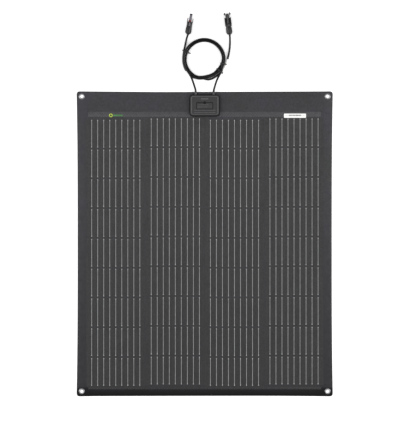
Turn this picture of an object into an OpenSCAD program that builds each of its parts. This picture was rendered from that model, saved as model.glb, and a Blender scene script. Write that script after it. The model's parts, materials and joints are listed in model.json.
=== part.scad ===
// Flexible solar sheet: a thin laminate of 36 half-cut cells with a junction box,
// two coiled connector cables and four corner eyelets.
// The sheet lies flat and face up on z = 0, centred on x = 0 and y = 0.
// +Y points to the junction box and the cables.

/* [Sheet] */
// Width of the sheet
sheet_w = 792; // [785:1:800]
// Length of the sheet
sheet_l = 943; // [936:1:946]
// Corner radius of the sheet
corner_r = 9; // [4:1:12]
// Thickness of the back sheet
back_t = 1.2; // [1:0.1:1.5]
// Thickness of the front laminate
film_t = 1.2; // [1.1:0.1:1.5]

/* [Cells] */
// Rows of cells
rows = 9; // [5:1:9]
// Distance from one row to the next
row_pitch = 92; // [91.5:0.1:92]
// Distance from one column to the next
column_pitch = 184; // [183.6:0.1:184.4]
// Width of a half-cut cell
cell_w = 182; // [160:1:182]
// Length of a half-cut cell
cell_l = 90.5; // [82:0.5:90.5]
// How much higher every second column sits
stagger = 4.3; // [2:0.1:5]
// Distance from the top edge to the first cells
top_margin = 83.5; // [81:0.5:86]
// Ribbons soldered along each cell
ribbons_per_cell = 9; // [5:1:10]
// Distance from one ribbon to the next
ribbon_pitch = 18.6; // [15:0.1:18.6]
// Gap between two rigid rows, where the sheet bends
bend_gap = 0.5; // [0.4:0.1:0.6]

/* [Eyelets] */
// Distance of an eyelet's centre from both edges
eyelet_inset = 16; // [14:0.5:18]
// Radius of an eyelet's hole
eyelet_hole_r = 5; // [3:0.5:5]
// Radius of an eyelet's flange
eyelet_flange_r = 9; // [7:0.5:9]

/* [Junction box] */
// Width of the junction box
box_w = 90; // [86:1:100]
// Length of the junction box
box_l = 64; // [64:1:66]
// Corner radius of the junction box
box_r = 9; // [6:1:12]
// Distance from the sheet's top edge to the box
box_margin = 12.1; // [9:0.1:13]
// Wall thickness of the tray
box_wall = 2.4; // [2:0.1:3]
// Distance from the middle to each cable
gland_x = 27.5; // [25:0.5:30]

/* [Cables] */
// Diameter of a cable
cable_d = 6; // [5:0.1:6]
// Mean radius of the coil
coil_r = 60.2; // [60:0.1:60.4]

/* [Connectors] */
// Radius of a cap nut over its ribs
nut_r = 9.8; // [9:0.1:9.8]
// Tilt of the plug, clockwise
plug_tilt = 9.6; // [5:0.1:12]
// Tilt of the socket, anticlockwise
socket_tilt = 7.1; // [5:0.1:12]
// Radius of the contact pin
pin_r = 2; // [1.5:0.1:2.2]

/* [Hidden] */
$fn = 48;
columns = 4;

// Layers, from the floor up
film_z = back_t;
face_z = back_t + film_t;
wafer_t = 0.25;
ribbon_t = 0.25;
ribbon_w = 1;
pocket_t = 0.55;
pocket_gap = 0.1;

// Places of the rows, columns and bends
half_w = sheet_w / 2;
half_l = sheet_l / 2;
cell_top = half_l - top_margin;
function column_x(c) = (c - (columns - 1) / 2) * column_pitch;
function column_up(c) = c % 2 == 1 ? stagger : 0;
function row_end(k) = cell_top - row_pitch * k;
function cell_y(k, c) = row_end(k) + row_pitch / 2 + column_up(c);
function ribbon_x(i) = (i - (ribbons_per_cell - 1) / 2) * ribbon_pitch;
function strip_top(k) = k == 1 ? half_l : row_end(k - 1) - bend_gap / 2;
function strip_low(k) = k == rows ? -half_l : row_end(k) + bend_gap / 2;
function top_up(k, c) = k == 1 ? 0 : column_up(c);
function low_up(k, c) = k == rows ? 0 : column_up(c);

// Cross ribbons
bus_t = 0.3;
bus_w = 5;
bus_y = cell_top + 6;
transit_y = bus_y + 7;
bus_end_x = -column_x(0) + 84;
riser_x = 26;
riser_y = transit_y + 2;
riser_top = 6.7;
link_y = row_end(rows) - 11;

// Eyelets
eyelet_x = half_w - eyelet_inset;
eyelet_y = half_l - eyelet_inset;
eyelet_wall = 0.7;
eyelet_rim = 0.5;

// Junction box, from the sheet's face up
box_y = half_l - box_margin - box_l / 2;
pad_t = 0.8;
tray_z = face_z + pad_t;
tray_floor = 1.6;
tray_top = tray_z + 11.2;
seal_t = 0.75;
lid_z = tray_top + 0.8;
lid_plate = 2;
lid_top = lid_z + 2.8;
slot_w = 64;
slot_l = 5;
gland_z = tray_z + 6;
gland_bore = cable_d / 2 + 0.15;
gland_neck_r = 4.4;
gland_flange_r = 5.8;
gland_flange = 4;
box_edge = box_y + box_l / 2;
gland_mouth = box_edge + 0.1 + gland_flange;
rail_z = tray_z + tray_floor;
rail_t = 1.5;
clamp_y = box_edge - 13;

// Serial label and coil
label_size = [68, 15, 0.2];
label_at = [279, 395];
coil_at = [-1.2, 569.5];
coil_low = 1;
coil_high = 13.5;
coil_half = 6.2;
tie_t = 1;
tie_w = 3.6;

// Connectors
connector_z = 10;
plug_at = [-51.9, 647.6, connector_z];
socket_at = [77, 646.7, connector_z];
nut_l = 23;
nut_cavity_r = 7.2;
tail_r = 6.9;
tail_from = 9;
seal_r = 5;
entry_r = cable_d / 2 + 0.2;
body_from = 23.4;
crimp_from = 22;
barrel_r = 5.6;
barrel_step = 48;
mouth_r = 5;
mouth_end = 64;
socket_r = 4.3;
nose_r = 4.15;
nose_root_r = 3.6;
nose_from = 43.2;
nose_end = 64;
latch_root = 34.4;

// Routes of the cables, outside their coil
function ahead(at, tilt, far) = [at[0] - sin(tilt) * far, at[1] + cos(tilt) * far, at[2]];
left_lead = [
    [-gland_x, clamp_y + 0.5, gland_z], [-gland_x, gland_mouth, gland_z], [-28.3, 475, 9.6],
    [-32, 488, 11], [-36.4, 501, 13.8], [-41, 512.5, 16.2], [-46.2, 523, 16.7], [-53, 533.6, 16.7]
];
left_tail = [
    [-40, 516.1, 4.1], [-49.2, 524.6, 4.1], [-57, 534.6, 4.1], [-62.5, 546, 4.1], [-65.6, 558, 4.1],
    [-66.7, 570, 4], [-66.2, 581, 3.8], [-64.4, 593, 3.7], [-62, 606, 3.9], [-59, 620, 5.6],
    [-55.8, 634, 8.6], plug_at, ahead(plug_at, -plug_tilt, crimp_from - 0.5)
];
right_lead = [
    [gland_x, clamp_y + 0.5, gland_z], [gland_x, gland_mouth, gland_z], [28.3, 475, 9.6],
    [31.6, 487, 11], [35.6, 500, 13.8], [40.2, 511, 16.2], [45.6, 521.5, 16.7], [50.8, 532.5, 16.7]
];
right_tail = [
    [33, 516, 4.1], [41, 522, 3.8], [48.2, 529, 3.7], [55, 537, 3.7], [61.6, 546.8, 3.7],
    [66.8, 558.5, 3.7], [70.5, 570.5, 3.7], [73.4, 582, 3.5], [75.6, 593, 3.4], [77.2, 605, 3.8],
    [78, 619, 5.8], [78, 633, 8.8], socket_at, ahead(socket_at, socket_tilt, crimp_from - 0.5)
];
left_tag = [for (i = [0:2]) left_tail[i]];
right_tag = [for (i = [3:6]) right_tail[i]];

ROW_NAMES = [for (k = [1:rows]) for (layer = ["back_sheet_", "cell_row_", "front_film_"])
    str(layer, k)];

// ---- Shared shapes ----

module rounded(w, l, r) {
    square([w - 2 * r, l], center = true);
    square([w, l - 2 * r], center = true);
    for (x = [-1, 1]) for (y = [-1, 1])
        translate([x * (w / 2 - r), y * (l / 2 - r)]) circle(r);
}

module block(from, to) {
    translate(from) cube(to - from);
}

module area(from, to) {
    translate(from) square(to - from);
}

module ring(outer, inner, h) {
    difference() {
        cylinder(h = h, r = outer);
        translate([0, 0, -1]) cylinder(h = h + 2, r = inner);
    }
}

// A round tube along a list of points: a ring of corners at each point, square to the route.
function unit(v) = v / norm(v);
function along(p, i) = unit(p[min(i + 1, len(p) - 1)] - p[max(i - 1, 0)]);
function across(t) = unit(cross(t, [0, 0, 1]));
function ring_at(p, i, r, sides) = [
    for (s = [0:sides - 1])
        p[i] + r * cos(360 * s / sides) * across(along(p, i))
             + r * sin(360 * s / sides) * cross(across(along(p, i)), along(p, i))
];

module tube(p, d, sides = 10) {
    last = len(p) - 1;
    polyhedron(
        points = [for (i = [0:last]) each ring_at(p, i, d / 2, sides)],
        faces = concat(
            [[for (s = [sides - 1:-1:0]) s]],
            [[for (s = [0:sides - 1]) last * sides + s]],
            [for (i = [0:last - 1]) for (s = [0:sides - 1]) [
                i * sides + s, i * sides + (s + 1) % sides,
                (i + 1) * sides + (s + 1) % sides, (i + 1) * sides + s
            ]]
        )
    );
}

// ---- Laminate ----

// One row's share of the sheet. Its ends are stepped, because every second column sits higher.
module strip_shape(k) {
    intersection() {
        rounded(sheet_w, sheet_l, corner_r);
        union() {
            for (c = [0:columns - 1]) {
                left = c == 0 ? -half_w : column_x(c) - column_pitch / 2 + bend_gap / 2;
                right = c == columns - 1 ? half_w : column_x(c) + column_pitch / 2 - bend_gap / 2;
                area([left, strip_low(k) + low_up(k, c)], [right, strip_top(k) + top_up(k, c)]);
            }
            for (c = [0:columns - 2]) {
                middle = column_x(c) + column_pitch / 2;
                low = strip_low(k) + max(low_up(k, c), low_up(k, c + 1));
                area([middle - bend_gap, low], [middle + bend_gap, strip_top(k)]);
            }
        }
    }
}

module eyelet_places(k) {
    for (x = [-1, 1]) {
        if (k == 1) translate([x * eyelet_x, eyelet_y]) children();
        if (k == rows) translate([x * eyelet_x, -eyelet_y]) children();
    }
}

module back_sheet(k) color("#202022") difference() {
    linear_extrude(back_t) strip_shape(k);
    eyelet_places(k) {
        translate([0, 0, -1]) cylinder(h = back_t + 2, r = eyelet_hole_r + eyelet_wall + 0.1);
        translate([0, 0, -1]) cylinder(h = 1 + eyelet_rim, r = eyelet_flange_r + 0.1);
    }
}

module cell_pocket(k, c) {
    size = [cell_w + 2 * pocket_gap, cell_l + 2 * pocket_gap];
    translate([column_x(c), cell_y(k, c), film_z - 1])
        linear_extrude(1 + pocket_t) square(size, center = true);
}

module bus_pocket_top() {
    block([-bus_end_x - 1, cell_top - 1, film_z - 1],
          [bus_end_x + 1, transit_y + bus_w + 1, film_z + pocket_t]);
    block([-slot_w / 2, riser_y - slot_l / 2, film_z - 1],
          [slot_w / 2, riser_y + slot_l / 2, face_z + 1]);
}

module bus_pocket_bottom() {
    for (c = [0, 2])
        block([column_x(c) - 85, link_y - 1, film_z - 1],
              [column_x(c + 1) + 85, row_end(rows) + 6, film_z + pocket_t]);
}

module front_film(k) color("#47474b") difference() {
    translate([0, 0, film_z]) linear_extrude(film_t) strip_shape(k);
    for (c = [0:columns - 1]) cell_pocket(k, c);
    if (k == 1) bus_pocket_top();
    if (k == rows) bus_pocket_bottom();
    eyelet_places(k)
        cylinder(h = face_z + 1, r = eyelet_hole_r + eyelet_wall + 0.1);
}

// A half-cut cell with its soldered ribbons.
module cell(k, c) {
    translate([column_x(c), cell_y(k, c), film_z]) {
        translate([-cell_w / 2, -cell_l / 2, 0]) cube([cell_w, cell_l, wafer_t]);
        for (i = [0:ribbons_per_cell - 1])
            translate([ribbon_x(i) - ribbon_w / 2, -cell_l / 2, wafer_t])
                cube([ribbon_w, cell_l, ribbon_t]);
    }
}

module cell_row(k) color("#3a3a40") for (c = [0:columns - 1]) cell(k, c);

// Short tabs that join a column's ribbons to a cross ribbon.
module tabs(c, from, to) {
    for (i = [0:ribbons_per_cell - 1])
        block([column_x(c) + ribbon_x(i) - ribbon_w, from, film_z],
              [column_x(c) + ribbon_x(i) + ribbon_w, to, film_z + bus_t]);
}

module collector(from_c, to_c, y) {
    block([column_x(from_c) - 84, y, film_z], [column_x(to_c) + 84, y + bus_w, film_z + bus_t]);
}

module riser(x) {
    block([x - 2.5, riser_y - 0.2, film_z], [x + 2.5, riser_y + 0.2, riser_top]);
    block([x - 2.5, riser_y - 0.2, riser_top - 0.4], [x + 2.5, riser_y + 12, riser_top]);
}

module bus_ribbons() color("#8d8d90") {
    cell_end = cell_top - (row_pitch - cell_l) / 2;
    for (side = [-1, 1]) {
        c = side < 0 ? 0 : 3;
        end = side * bus_end_x;
        collector(c, c, bus_y);
        block([min(end, end - side * bus_w), bus_y, film_z],
              [max(end, end - side * bus_w), transit_y + bus_w, film_z + bus_t]);
        block([min(end, side * (riser_x - 2.5)), transit_y, film_z],
              [max(end, side * (riser_x - 2.5)), transit_y + bus_w, film_z + bus_t]);
        riser(side * riser_x);
    }
    collector(1, 2, bus_y);
    block([-2.5, bus_y, film_z], [2.5, riser_y, film_z + bus_t]);
    riser(0);
    for (c = [0:columns - 1]) tabs(c, cell_end + column_up(c), bus_y + 1);
}

module bus_ribbons_bottom() color("#8d8d90") {
    cell_end = row_end(rows) + (row_pitch - cell_l) / 2;
    for (c = [0, 2]) collector(c, c + 1, link_y);
    for (c = [0:columns - 1]) tabs(c, link_y + bus_w - 1, cell_end + column_up(c));
}

module serial_label() color("#f4f4f2")
    translate([label_at[0], label_at[1], face_z])
        linear_extrude(label_size[2]) rounded(label_size[0], label_size[1], 1.5);

// A rolled eyelet: a barrel, a rounded flange on the face and a flat one let into the back.
module eyelet() {
    wall = eyelet_hole_r + eyelet_wall;
    difference() {
        union() {
            cylinder(h = face_z + 0.8, r = wall);
            cylinder(h = eyelet_rim, r = eyelet_flange_r);
            translate([0, 0, face_z]) cylinder(h = 0.4, r = eyelet_flange_r);
            translate([0, 0, face_z + 0.4])
                cylinder(h = 0.4, r1 = eyelet_flange_r - 0.1, r2 = eyelet_flange_r - 1);
        }
        translate([0, 0, -1]) cylinder(h = face_z + 4, r = eyelet_hole_r);
    }
}

module grommets_top() color("#d9d9dc") eyelet_places(1) eyelet();

module grommets_bottom() color("#d9d9dc") eyelet_places(rows) eyelet();

// ---- Junction box ----

module box_slot() {
    block([-slot_w / 2, riser_y - slot_l / 2, face_z - 1],
          [slot_w / 2, riser_y + slot_l / 2, rail_z + 1]);
}

module box_pad() color("#161617") difference() {
    translate([0, box_y, face_z]) linear_extrude(pad_t) rounded(box_w - 3, box_l - 3, box_r - 1.5);
    box_slot();
}

module box_tray() color("#232324") difference() {
    translate([0, box_y, tray_z]) linear_extrude(tray_top - tray_z) rounded(box_w, box_l, box_r);
    translate([0, box_y, rail_z])
        linear_extrude(tray_top)
            rounded(box_w - 2 * box_wall, box_l - 2 * box_wall, box_r - box_wall);
    box_slot();
    for (x = [-gland_x, gland_x])
        translate([x, box_edge - 2 * box_wall, gland_z]) rotate([-90, 0, 0])
            cylinder(h = 3 * box_wall, r = gland_neck_r + 0.1);
}

module lid_ring(outer_gap, width, z, h) {
    translate([0, box_y, z]) linear_extrude(h) difference() {
        rounded(box_w - 2 * outer_gap, box_l - 2 * outer_gap, box_r - outer_gap);
        rounded(box_w - 2 * (outer_gap + width), box_l - 2 * (outer_gap + width),
                max(box_r - outer_gap - width, 2));
    }
}

// The lid: a plate with a rim, a framed field, two grip ribs and a locating lip below.
module box_lid() color("#2b2b2d") {
    field = [52, 22.6];
    difference() {
        translate([0, box_y, lid_z]) linear_extrude(lid_plate) rounded(box_w, box_l, box_r);
        translate([0, box_y - 1, lid_z + lid_plate - 0.6]) linear_extrude(1) difference() {
            rounded(field[0], field[1], 2.5);
            rounded(field[0] - 4, field[1] - 4, 1.5);
        }
        translate([0, box_y - 1 + field[1] / 2 - 2, lid_z + lid_plate - 0.8])
            cylinder(h = 2, r = 4.5);
    }
    lid_ring(0, 3.5, lid_z + lid_plate - 0.01, lid_top - lid_z - lid_plate + 0.01);
    for (y = [-15, -22])
        translate([0, box_y + y, lid_z + lid_plate - 0.01])
            linear_extrude(0.81) rounded(66, 2.4, 1);
    lid_ring(box_wall + 0.4, 1.8, tray_top - 0.5, lid_z - tray_top + 0.51);
}

module lid_seal() color("#111112") lid_ring(0.6, 1.4, lid_z - seal_t, seal_t);

module terminal_rails() color("#b87a4b")
    for (x = [-riser_x, 0, riser_x])
        translate([x - 7, riser_y + 8, rail_z]) difference() {
            cube([14, 34, rail_t]);
            translate([7, 28, -1]) cylinder(h = rail_t + 2, r = 1.6);
        }

module bypass_diodes() color("#1a1a1c")
    for (side = [-1, 1]) translate([side * riser_x / 2, riser_y + 24, rail_z + rail_t]) {
        translate([-4.5, 0, 3.2]) rotate([0, 90, 0]) cylinder(h = 9, r = 2.7);
        translate([-10, 0, 3.2]) rotate([0, 90, 0]) cylinder(h = 20, r = 0.6);
        for (x = [-9.4, 9.4]) translate([x, 0, 0]) cylinder(h = 3.2, r = 0.6);
    }

module cable_clamps() color("#c9c9cc")
    for (x = [-gland_x, gland_x]) {
        translate([x, clamp_y - 6, gland_z]) rotate([-90, 0, 0]) cylinder(h = 6.4, r = 2.4);
        block([x - 2.5, clamp_y - 6, rail_z + rail_t], [x + 2.5, clamp_y, gland_z - 1]);
    }

module cable_glands() color("#1d1d1f")
    for (x = [-gland_x, gland_x])
        translate([x, gland_mouth, gland_z]) rotate([90, 0, 0]) difference() {
            union() {
                cylinder(h = gland_flange, r = gland_flange_r);
                cylinder(h = gland_flange + 7.4, r = gland_neck_r);
            }
            translate([0, 0, -1]) cylinder(h = gland_flange + 10, r = gland_bore);
        }

// ---- Cables ----

module cable_left_lead() color("#2a2a2c") tube(left_lead, cable_d);

module cable_left_tail() color("#2a2a2c") tube(left_tail, cable_d);

module cable_right_lead() color("#2a2a2c") tube(right_lead, cable_d);

module cable_right_tail() color("#2a2a2c") tube(right_tail, cable_d);

module cable_coil() color("#2a2a2c")
    translate([coil_at[0], coil_at[1], 0]) rotate_extrude($fn = 72)
        translate([coil_r, (coil_low + coil_high) / 2])
            rounded(2 * coil_half, coil_high - coil_low, 3);

// A cable tie around the bundle, with its head on the outside and its cut end.
module tie(turn, inner, outer, top, stub_in) {
    wide = [inner - tie_t, outer + tie_t];
    translate([coil_at[0], coil_at[1], 0]) rotate([0, 0, turn]) translate([0, -tie_w / 2, 0]) {
        difference() {
            block([wide[0], 0, 0], [wide[1], tie_w, top + tie_t]);
            block([inner, -1, tie_t], [outer, tie_w + 1, top]);
        }
        if (stub_in) block([wide[0] - 6, 0.6, 8], [wide[0], tie_w - 0.6, 9.2]);
        if (stub_in) block([wide[0] - 3, -0.5, 5], [wide[0], tie_w + 0.5, 8]);
        if (!stub_in) block([wide[1], 0.6, 10.6], [wide[1] + 7, tie_w - 0.6, 11.8]);
        if (!stub_in) block([wide[1], -0.5, 8], [wide[1] + 3, tie_w + 0.5, 11]);
    }
}

module coil_ties() color("#1b1b1c") {
    tie(157, 53.4, 72.4, 19.8, true);
    tie(-13, 51.4, 62.6, 18.6, false);
    tie(-37, 48, 67.4, 19.8, false);
}

module sleeve(p) difference() {
    tube(p, cable_d + 1.2);
    tube(concat([2 * p[0] - p[1]], p, [2 * p[len(p) - 1] - p[len(p) - 2]]), cable_d + 0.2);
}

module cable_tags() color("#f6f6f6") {
    sleeve(left_tag);
    sleeve(right_tag);
}

// ---- Connectors: local z runs from the cable's entry to the mating end ----

module on_plug() translate(plug_at) rotate([0, 0, -plug_tilt]) rotate([-90, 0, 0]) children();

module on_socket() translate(socket_at) rotate([0, 0, socket_tilt]) rotate([-90, 0, 0]) children();

module cap_nut() difference() {
    union() {
        cylinder(h = 4, r1 = 6.4, r2 = nut_r - 0.7);
        translate([0, 0, 4]) cylinder(h = nut_l - 4, r = nut_r - 0.7);
        for (a = [15:30:345]) rotate([0, 0, a])
            block([nut_r - 1.5, -1, 4.8], [nut_r, 1, nut_l - 3]);
    }
    translate([0, 0, -1]) cylinder(h = nut_l, r = entry_r);
    translate([0, 0, 6]) cylinder(h = nut_l, r = nut_cavity_r);
}

module cable_seal() translate([0, 0, 13.2]) ring(seal_r, entry_r - 0.1, 6);

// A split basket whose fingers grip the cable.
module clamp_basket() difference() {
    translate([0, 0, 6.6]) ring(seal_r, entry_r - 0.1, 6.2);
    for (a = [0, 60, 120]) rotate([0, 0, a]) block([-8, -0.4, 6], [8, 0.4, 10.5]);
}

module plug_cap_nut() color("#262628") on_plug() cap_nut();

module socket_cap_nut() color("#262628") on_socket() cap_nut();

module plug_cable_seal() color("#8c2b2f") on_plug() cable_seal();

module socket_cable_seal() color("#8c2b2f") on_socket() cable_seal();

module plug_clamp_basket() color("#333336") on_plug() clamp_basket();

module socket_clamp_basket() color("#333336") on_socket() clamp_basket();

module plug_housing() color("#2c2c2e") on_plug() difference() {
    union() {
        translate([0, 0, tail_from]) cylinder(h = 16, r = tail_r);
        translate([0, 0, body_from]) cylinder(h = 15, r = nut_r - 1);
        for (x = [-1, 1]) translate([x * 8, 0, 0]) block([-0.9, -3.6, 36], [0.9, 3.6, 47]);
        translate([0, 0, 38]) cylinder(h = 6, r = nose_root_r);
        translate([0, 0, nose_from]) cylinder(h = nose_end - nose_from, r = nose_r);
    }
    translate([0, 0, tail_from - 1]) cylinder(h = 14, r = seal_r + 0.2);
    cylinder(h = nose_end + 1, r = 3.1);
}

module plug_contact() color("#c9c9cc") on_plug() difference() {
    union() {
        translate([0, 0, crimp_from]) cylinder(h = 10, r = 2.4);
        translate([0, 0, 32]) cylinder(h = 30, r = 3);
    }
    translate([0, 0, 46]) cylinder(h = 20, r = pin_r);
}

module plug_ring_seal() color("#a02c33") on_plug()
    translate([0, 0, 39]) ring(nose_r + 0.85, nose_root_r + 0.05, 4);

module socket_housing() color("#2c2c2e") on_socket() difference() {
    union() {
        translate([0, 0, tail_from]) cylinder(h = 16, r = tail_r);
        translate([0, 0, body_from]) cylinder(h = latch_root - 0.4 - body_from, r = nut_r - 1);
        block([-10.3, -4.5, 26], [10.3, 4.5, latch_root - 0.4]);
        for (x = [-1, 1]) translate([x * 9.8, 0, 0]) block([-0.5, -4.5, 30], [0.5, 4.5, 53]);
        translate([0, 0, 30]) cylinder(h = barrel_step - 30, r = barrel_r);
        translate([0, 0, 30]) cylinder(h = mouth_end - 30, r = mouth_r);
    }
    translate([0, 0, tail_from - 1]) cylinder(h = 14, r = seal_r + 0.2);
    cylinder(h = mouth_end, r = 2.9);
    translate([0, 0, 32]) cylinder(h = mouth_end, r = socket_r);
}

module socket_pin() color("#c9c9cc") on_socket() {
    translate([0, 0, crimp_from]) cylinder(h = 9, r = 2.6);
    translate([0, 0, 30]) cylinder(h = 22, r = pin_r);
}

// A springy latch arm with an outward barb; side is -1 or 1.
module latch_arm(side) on_socket() rotate([90, 0, 0])
    linear_extrude(7, center = true) scale([side, 1])
        polygon([
            [6.9, latch_root], [8.8, latch_root], [8.8, 47], [7.3, 55], [7.3, 59.5],
            [10.8, 61.5], [10.8, 63.6], [7.9, 68], [6.3, 68], [5.8, 55], [6.9, 48.6]
        ]);

module latch_arm_left() color("#3a3a3d") latch_arm(-1);

module latch_arm_right() color("#3a3a3d") latch_arm(1);

// ---- Nodes ----

for (k = [1:rows]) {
    back_sheet(k);
    cell_row(k);
    front_film(k);
}
bus_ribbons();
bus_ribbons_bottom();
grommets_top();
grommets_bottom();
serial_label();
box_pad();
box_tray();
box_lid();
lid_seal();
terminal_rails();
bypass_diodes();
cable_clamps();
cable_glands();
cable_left_lead();
cable_left_tail();
cable_right_lead();
cable_right_tail();
cable_coil();
coil_ties();
cable_tags();
plug_housing();
plug_contact();
plug_ring_seal();
plug_cable_seal();
plug_clamp_basket();
plug_cap_nut();
socket_housing();
socket_pin();
latch_arm_left();
latch_arm_right();
socket_cable_seal();
socket_clamp_basket();
socket_cap_nut();
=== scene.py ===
"""Looks of a flexible solar sheet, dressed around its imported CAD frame. Lengths are in millimetres
here and become metres when a mesh or curve is made."""

import json
import math

import bmesh
import bpy
import numpy as np
from mathutils import Matrix, Vector


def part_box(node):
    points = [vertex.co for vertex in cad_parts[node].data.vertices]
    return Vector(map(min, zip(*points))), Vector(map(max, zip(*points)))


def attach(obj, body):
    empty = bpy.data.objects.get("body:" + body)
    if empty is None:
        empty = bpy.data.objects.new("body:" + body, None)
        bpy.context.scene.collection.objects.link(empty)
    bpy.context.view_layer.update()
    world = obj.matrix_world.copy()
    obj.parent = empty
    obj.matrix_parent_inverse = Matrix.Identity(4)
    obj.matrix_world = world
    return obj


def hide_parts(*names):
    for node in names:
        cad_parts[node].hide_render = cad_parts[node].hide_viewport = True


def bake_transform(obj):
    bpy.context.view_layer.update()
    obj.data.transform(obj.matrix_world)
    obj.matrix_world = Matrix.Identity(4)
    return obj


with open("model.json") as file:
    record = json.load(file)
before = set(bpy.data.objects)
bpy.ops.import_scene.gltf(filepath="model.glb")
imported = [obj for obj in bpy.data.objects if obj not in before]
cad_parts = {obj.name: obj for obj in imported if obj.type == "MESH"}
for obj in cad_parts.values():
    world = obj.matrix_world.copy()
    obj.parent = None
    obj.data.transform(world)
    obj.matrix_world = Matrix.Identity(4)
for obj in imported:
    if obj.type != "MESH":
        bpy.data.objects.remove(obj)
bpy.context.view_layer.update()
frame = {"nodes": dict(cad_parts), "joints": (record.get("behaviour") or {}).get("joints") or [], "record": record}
nodes = frame["nodes"]
MM = 0.001


def box_mm(node):
    """Lowest and highest corner of a CAD node, in millimetres."""
    low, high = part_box(node)
    return low / MM, high / MM


# ---- Measures that several sections use ----

HALF_W = box_mm("back_sheet_1")[1].x
HALF_L = box_mm("back_sheet_1")[1].y
BACK_T = box_mm("back_sheet_2")[1].z
FACE_Z = box_mm("front_film_2")[1].z
UNDER_FACE = FACE_Z - 0.1       # where the relief on the film starts
EYELET_FLANGE = 9               # an eyelet's outer radius

BENDS = [j["pos_m"][1] / MM for j in frame["joints"] if j["name"].startswith("sheet_flex")]
BODIES = ["root"] + [f"row_{k + 2}" for k in range(len(BENDS))]


# ---- Camera, floor and lights ----

VIEW_CENTRE = Vector((10.2, 103.1, 2.4))
VIEW_HEIGHT = 1300.9
CAMERA_FAR = 8000
SENSOR = 36
WORLD_LIGHT = 0.62
SIDE_LIGHT = 47                 # watts
FLOOR_HALF = 30                 # metres
FLOOR_GAP = 0.1                 # below the object, so that the two don't flicker


def make_camera():
    data = bpy.data.cameras.new("camera")
    data.sensor_width = SENSOR
    data.lens = SENSOR * CAMERA_FAR / VIEW_HEIGHT
    data.clip_end = 100
    camera = bpy.data.objects.new("camera", data)
    camera.location = (VIEW_CENTRE + Vector((0, 0, CAMERA_FAR))) * MM
    bpy.context.collection.objects.link(camera)
    bpy.context.scene.camera = camera


def area_light(name, place, aim, size, power):
    """A soft rectangular light that points at aim. Its place, aim and size are metres."""
    data = bpy.data.lights.new(name, "AREA")
    data.shape = "RECTANGLE"
    data.size, data.size_y = size
    data.energy = power
    light = bpy.data.objects.new(name, data)
    light.location = place
    light.rotation_euler = (Vector(aim) - Vector(place)).to_track_quat("-Z", "Y").to_euler()
    bpy.context.collection.objects.link(light)


def make_studio():
    world = bpy.data.worlds.new("studio")
    world.use_nodes = True
    background = world.node_tree.nodes["Background"]
    background.inputs["Color"].default_value = (1, 1, 1, 1)
    background.inputs["Strength"].default_value = WORLD_LIGHT
    bpy.context.scene.world = world
    bpy.context.scene.view_settings.view_transform = "Standard"
    for side in (-1, 1):
        area_light(f"side_light_{side}", (side * 2.2, 0.1, 2.4), (0, 0.1, 0), (1.6, 3), SIDE_LIGHT)


def make_floor():
    mesh = bpy.data.meshes.new("floor")
    half = FLOOR_HALF
    corners = [(-half, -half, 0), (half, -half, 0), (half, half, 0), (-half, half, 0)]
    mesh.from_pydata(corners, [], [(0, 1, 2, 3)])
    floor = bpy.data.objects.new("floor", mesh)
    floor.location.z = -FLOOR_GAP * MM
    bpy.context.collection.objects.link(floor)
    paint = bpy.data.materials.new("floor_white")
    paint.use_nodes = True
    shader = paint.node_tree.nodes["Principled BSDF"]
    shader.inputs["Emission Color"].default_value = (1, 1, 1, 1)
    shader.inputs["Emission Strength"].default_value = 0.3
    shader.inputs["Base Color"].default_value = (0.94, 0.94, 0.94, 1)
    shader.inputs["Roughness"].default_value = 0.9
    mesh.materials.append(paint)


# ---- Materials: their sizes, depths and places are metres ----

WEAVE = 0.0013
WEAVE_DEPTH = 0.00004
FINGER_PITCH = 0.0014           # of the fine silver lines across a cell


def tone(code):
    """The linear colour of a six-digit sRGB code."""
    parts = [int(code[i:i + 2], 16) / 255 for i in (0, 2, 4)]
    return [*(p / 12.92 if p <= 0.04045 else ((p + 0.055) / 1.055) ** 2.4 for p in parts), 1]


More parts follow.
